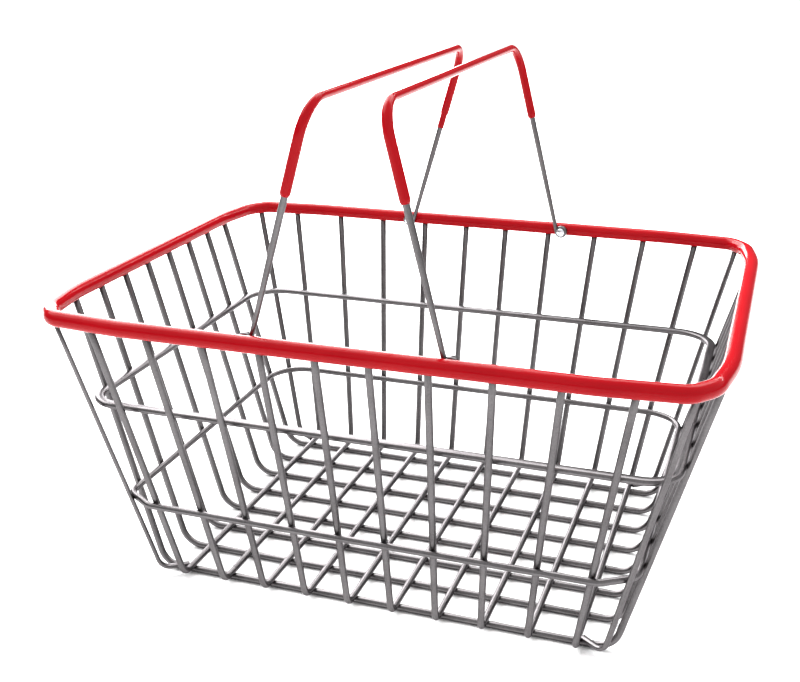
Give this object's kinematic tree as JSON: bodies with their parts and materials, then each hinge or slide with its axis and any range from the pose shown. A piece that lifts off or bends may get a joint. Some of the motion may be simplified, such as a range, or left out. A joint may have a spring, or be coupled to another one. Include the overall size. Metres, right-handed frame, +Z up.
{
  "type": "wire shopping basket",
  "caption": "Tapered oblong basket of welded round wires with two hoops, a covered rim and two swing handles with sleeved grips that stand up or fold down over the short sides.",
  "frame": {"origin": "on the ground under the middle of the basket floor", "axes": "+X along the length, +Y across the width, +Z up; each handle pivots about an axis along Y"},
  "size_m": [0.4316, 0.3306, 0.3405],
  "materials": {
    "steel_wire": "zinc-plated satin wire",
    "red_cover": "glossy red plastic",
    "red_grip": "glossy red plastic sleeve",
    "rivet_steel": "bright plated steel"
  },
  "bodies": {
    "basket": {"rim_rod": "steel_wire", "rim_cover": "red_cover", "upper_hoop": "steel_wire", "lower_hoop": "steel_wire", "lengthwise_wire_1": "steel_wire", "lengthwise_wire_2": "steel_wire", "lengthwise_wire_3": "steel_wire", "lengthwise_wire_4": "steel_wire", "lengthwise_wire_5": "steel_wire", "lengthwise_wire_6": "steel_wire", "lengthwise_wire_7": "steel_wire", "lengthwise_wire_8": "steel_wire", "crosswise_wire_1": "steel_wire", "crosswise_wire_2": "steel_wire", "crosswise_wire_3": "steel_wire", "crosswise_wire_4": "steel_wire", "crosswise_wire_5": "steel_wire", "crosswise_wire_6": "steel_wire", "crosswise_wire_7": "steel_wire", "crosswise_wire_8": "steel_wire", "crosswise_wire_9": "steel_wire", "crosswise_wire_10": "steel_wire", "corner_wire_front_left": "steel_wire", "corner_wire_front_right": "steel_wire", "corner_wire_back_left": "steel_wire", "corner_wire_back_right": "steel_wire", "rivet_left_front": "rivet_steel", "rivet_left_back": "rivet_steel", "rivet_right_front": "rivet_steel", "rivet_right_back": "rivet_steel"},
    "left_handle": {"left_handle_wire": "steel_wire", "left_handle_grip": "red_grip"},
    "right_handle": {"right_handle_wire": "steel_wire", "right_handle_grip": "red_grip"}
  },
  "joints": [
    {"name": "left_handle_swing", "type": "hinge", "parent": "basket", "child": "left_handle", "pos_m": [-0.063, 0, 0.1965], "axis": [0, 1, 0], "range_deg": [-103, 6.5]},
    {"name": "right_handle_swing", "type": "hinge", "parent": "basket", "child": "right_handle", "pos_m": [0.063, 0, 0.1965], "axis": [0, -1, 0], "range_deg": [-101.5, 8]}
  ]
}
